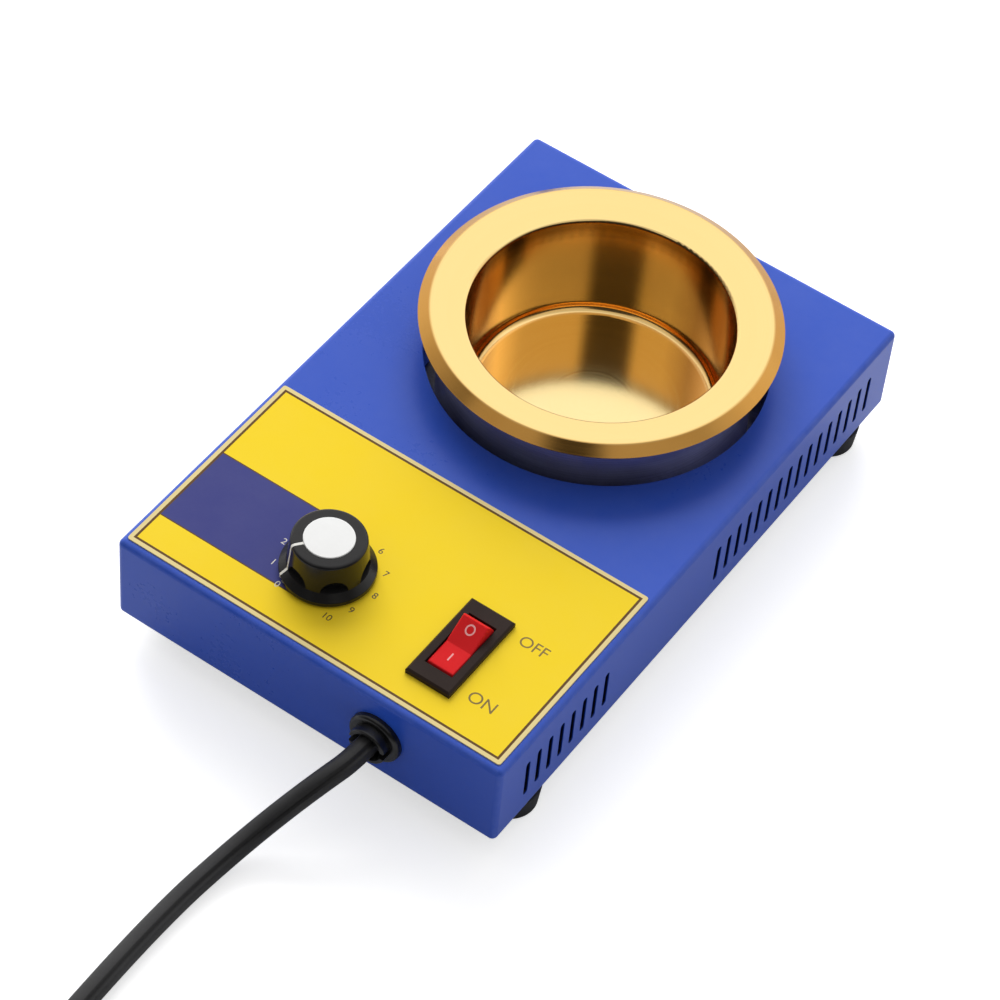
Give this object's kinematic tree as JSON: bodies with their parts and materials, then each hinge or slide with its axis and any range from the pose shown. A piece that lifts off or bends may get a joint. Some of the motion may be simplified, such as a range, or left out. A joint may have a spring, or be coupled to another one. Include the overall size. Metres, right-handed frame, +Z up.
{
  "type": "solder pot",
  "caption": "Solder pot: dished round crucible over a steel barrel in a low vented sheet-metal case with a dial, a rocker switch, rubber feet and a mains cord.",
  "frame": {"origin": "on the floor below the middle of the case, at the bottom of the rubber feet", "axes": "+X to the right along the front edge, +Y from the control panel to the crucible, +Z up"},
  "size_m": [0.2139, 0.4062, 0.0572],
  "materials": {
    "case_paint": "blue stoved paint, satin",
    "plate_steel": "zinc-plated sheet",
    "foot_rubber": "black rubber, matte",
    "fastener_steel": "zinc-plated",
    "crucible_gold": "gold-coloured hard coating over steel, satin",
    "barrel_steel": "polished stainless steel",
    "clamp_steel": "plain sheet",
    "ceramic_white": "ceramic and mica insulation",
    "label_film": "printed film: yellow field, blue band, cream margin",
    "knob_black": "black moulded, semi-gloss",
    "cap_white": "white moulded disc",
    "dial_metal": "plated",
    "switch_black": "black moulded",
    "rocker_red": "translucent red",
    "contact_brass": "tinned brass",
    "board_resin": "glass-fibre board, green",
    "part_black": "moulded component bodies",
    "part_yellow": "film capacitor box",
    "part_green": "terminal blocks",
    "wire_white": "heat-proof woven sleeving",
    "wire_brown": "insulated core, brown",
    "wire_blue": "insulated cores, blue",
    "wire_green": "insulated core, green with a yellow stripe",
    "wire_grey": "thin insulated cores, grey",
    "shroud_red": "red insulating shrouds",
    "sink_aluminium": "extruded",
    "cord_black": "black flexible jacket, matte"
  },
  "bodies": {
    "base": {"barrel_spacer": "fastener_steel", "base_plate": "plate_steel", "base_screws": "fastener_steel", "board_screws": "fastener_steel", "board_standoffs": "fastener_steel", "case_cover": "case_paint", "control_board": "board_resin", "control_label": "label_film", "cord_bushing": "cord_black", "cord_coil": "cord_black", "cord_run": "cord_black", "cord_tail": "cord_black", "crucible": "crucible_gold", "crucible_stud": "fastener_steel", "dial_control": "dial_metal", "dial_leads": "wire_grey", "dial_lugs": "contact_brass", "dial_nut": "fastener_steel", "dial_washer": "fastener_steel", "earth_lead": "wire_green", "earth_nut": "fastener_steel", "earth_screw": "fastener_steel", "earth_terminal": "contact_brass", "filter_capacitor": "part_yellow", "filter_choke": "part_black", "foot_1": "foot_rubber", "foot_2": "foot_rubber", "foot_3": "foot_rubber", "foot_4": "foot_rubber", "foot_nuts": "fastener_steel", "foot_screws": "fastener_steel", "heat_sink": "sink_aluminium", "heater_barrel": "barrel_steel", "heater_block": "part_green", "heater_clamp": "clamp_steel", "heater_leads": "wire_white", "heater_sleeve": "ceramic_white", "insulation_disc": "ceramic_white", "lead_grommet": "ceramic_white", "live_lead": "wire_brown", "neutral_leads": "wire_blue", "plug_blades": "contact_brass", "plug_body": "cord_black", "plug_ground_pin": "contact_brass", "stud_nut": "fastener_steel", "stud_washer": "fastener_steel", "switch_housing": "switch_black", "switch_terminals": "contact_brass", "switched_lead": "wire_brown", "terminal_block": "part_green", "terminal_sleeves": "shroud_red", "triac": "part_black"},
    "knob": {"knob_body": "knob_black", "knob_cap": "cap_white", "knob_set_screw": "fastener_steel", "dial_shaft": "dial_metal"},
    "rocker": {"switch_rocker": "rocker_red"}
  },
  "joints": [
    {"name": "knob_turn", "type": "hinge", "parent": "base", "child": "knob", "pos_m": [-0.0128, -0.07425, 0.0407], "axis": [0, 0, -1], "range_deg": [-8, 292]},
    {"name": "rocker_tilt", "type": "hinge", "parent": "base", "child": "rocker", "pos_m": [0.0321, -0.07425, 0.0392], "axis": [-1, 0, 0], "range_deg": [0, 28]}
  ]
}
